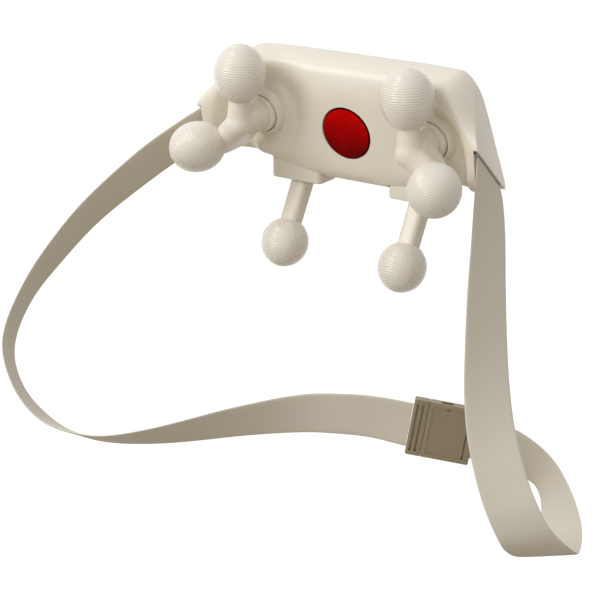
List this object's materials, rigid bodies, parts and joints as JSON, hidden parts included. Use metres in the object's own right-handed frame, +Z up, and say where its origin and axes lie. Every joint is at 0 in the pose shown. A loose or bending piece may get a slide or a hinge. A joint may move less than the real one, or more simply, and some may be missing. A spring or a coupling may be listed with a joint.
{
  "type": "neck and shoulder massager",
  "caption": "Curved neck and shoulder massager with motor-driven kneading forks, sprung thumb arms, a red heat window and an adjustable shoulder strap with a buckle.",
  "frame": {"origin": "centre of the red heat window's face, where it rests against the neck", "axes": "+X to the side with the strap's long loop, -Y forward towards the wearer, +Z up; the housing leans back by 12 degrees"},
  "size_m": [0.4477, 0.2264, 0.3725],
  "materials": {
    "body_plastic": "satin gloss moulded plastic, warm cream",
    "head_plastic": "satin gloss moulded plastic, warm cream",
    "pad_silicone": "ridged silicone, satin",
    "window_red": "clear deep red with a fine prismatic back",
    "dark_plastic": "matte glass-filled plastic",
    "steel": "turned and ground",
    "spring_steel": "drawn wire",
    "screw_steel": "zinc plated",
    "brass": "machined",
    "sintered_bronze": "oil-filled sintered bronze",
    "board": "solder mask over glass laminate",
    "cell_case": "shrink wrapped cell can",
    "light_pipe": "clear moulded light pipe",
    "socket_shell": "stamped and plated",
    "webbing": "plain woven polyester webbing",
    "buckle_plastic": "gloss moulded plastic, warm beige"
  },
  "bodies": {
    "housing": {"front_cover": "body_plastic", "back_cover": "body_plastic", "heat_window": "window_red", "window_ring": "dark_plastic", "heat_board": "board", "motor": "steel", "motor_mounts": "steel", "main_board": "board", "charging_port": "socket_shell", "battery_cells": "cell_case", "battery_tray": "dark_plastic", "status_lights": "light_pipe", "cover_screws": "screw_steel", "case_screws": "screw_steel", "left_collar": "body_plastic", "right_collar": "body_plastic", "left_gear_case": "dark_plastic", "right_gear_case": "dark_plastic", "left_gear_cover": "dark_plastic", "right_gear_cover": "dark_plastic", "left_bush": "sintered_bronze", "right_bush": "sintered_bronze", "left_thumb_block": "body_plastic", "right_thumb_block": "body_plastic", "left_thumb_pin": "steel", "right_thumb_pin": "steel", "left_thumb_spring": "spring_steel", "right_thumb_spring": "spring_steel", "left_strap_anchor": "steel", "right_strap_anchor": "steel", "left_strap": "webbing", "right_strap": "webbing", "buckle_socket": "buckle_plastic"},
    "drive_shaft": {"worm_shaft": "steel", "left_worm": "brass", "right_worm": "brass"},
    "left_crank": {"left_crank": "steel", "left_worm_wheel": "brass", "left_shaft_clip": "spring_steel"},
    "left_fork": {"left_fork": "head_plastic", "left_fork_retainer": "dark_plastic", "left_upper_pad": "pad_silicone", "left_lower_pad": "pad_silicone"},
    "left_thumb": {"left_thumb_arm": "head_plastic", "left_thumb_pad": "pad_silicone"},
    "right_crank": {"right_crank": "steel", "right_worm_wheel": "brass", "right_shaft_clip": "spring_steel"},
    "right_fork": {"right_fork": "head_plastic", "right_fork_retainer": "dark_plastic", "right_upper_pad": "pad_silicone", "right_lower_pad": "pad_silicone"},
    "right_thumb": {"right_thumb_arm": "head_plastic", "right_thumb_pad": "pad_silicone"},
    "power_button": {"power_button": "body_plastic"},
    "mode_button": {"mode_button": "body_plastic"},
    "heat_button": {"heat_button": "body_plastic"},
    "buckle_plug": {"buckle_plug": "buckle_plastic"}
  },
  "joints": [
    {"name": "right_crank_spin", "type": "hinge", "parent": "housing", "child": "right_crank", "pos_m": [0.077, -0.00509, 0.0071], "axis": [0, -0.9781, -0.2079], "continuous": true},
    {"name": "left_crank_spin", "type": "hinge", "parent": "housing", "child": "left_crank", "pos_m": [-0.077, -0.00509, 0.0071], "axis": [0, -0.9781, -0.2079], "continuous": true},
    {"name": "worm_spin", "type": "hinge", "parent": "housing", "child": "drive_shaft", "pos_m": [0, 0.02391, -0.00667], "axis": [1, 0, 0], "continuous": true},
    {"name": "right_fork_sway", "type": "hinge", "parent": "right_crank", "child": "right_fork", "pos_m": [0.077, -0.00509, 0.0071], "axis": [0, -0.9925, -0.1219], "continuous": true},
    {"name": "left_fork_sway", "type": "hinge", "parent": "left_crank", "child": "left_fork", "pos_m": [-0.077, -0.00509, 0.0071], "axis": [0, -0.9925, -0.1219], "continuous": true},
    {"name": "right_thumb_press", "type": "hinge", "parent": "housing", "child": "right_thumb", "pos_m": [0.055, 0.0275, -0.042], "axis": [1, 0, 0], "range_deg": [-6, 6], "stiffness_Nm_per_rad": 2, "deforming": ["right_thumb_spring"]},
    {"name": "left_thumb_press", "type": "hinge", "parent": "housing", "child": "left_thumb", "pos_m": [-0.055, 0.0275, -0.042], "axis": [1, 0, 0], "range_deg": [-6, 6], "stiffness_Nm_per_rad": 2, "deforming": ["left_thumb_spring"]},
    {"name": "power_button_press", "type": "slide", "parent": "housing", "child": "power_button", "axis": [0, -0.9781, -0.2079], "range_m": [0, 0.0008], "stiffness_N_per_m": 500},
    {"name": "mode_button_press", "type": "slide", "parent": "housing", "child": "mode_button", "axis": [0, -0.9781, -0.2079], "range_m": [0, 0.0008], "stiffness_N_per_m": 500},
    {"name": "heat_button_press", "type": "slide", "parent": "housing", "child": "heat_button", "axis": [0, -0.9781, -0.2079], "range_m": [0, 0.0008], "stiffness_N_per_m": 500},
    {"name": "buckle_release", "type": "slide", "parent": "housing", "child": "buckle_plug", "axis": [-0.868, -0.4713, 0.1564], "range_m": [0, 0.024], "deforming": ["left_strap"]}
  ],
  "couplings": [
    {"joint": "left_crank_spin", "follows": "right_crank_spin", "ratio": -1},
    {"joint": "worm_spin", "follows": "right_crank_spin", "ratio": -24},
    {"joint": "right_fork_sway", "follows": "right_crank_spin", "ratio": -1},
    {"joint": "left_fork_sway", "follows": "right_crank_spin", "ratio": 1}
  ]
}
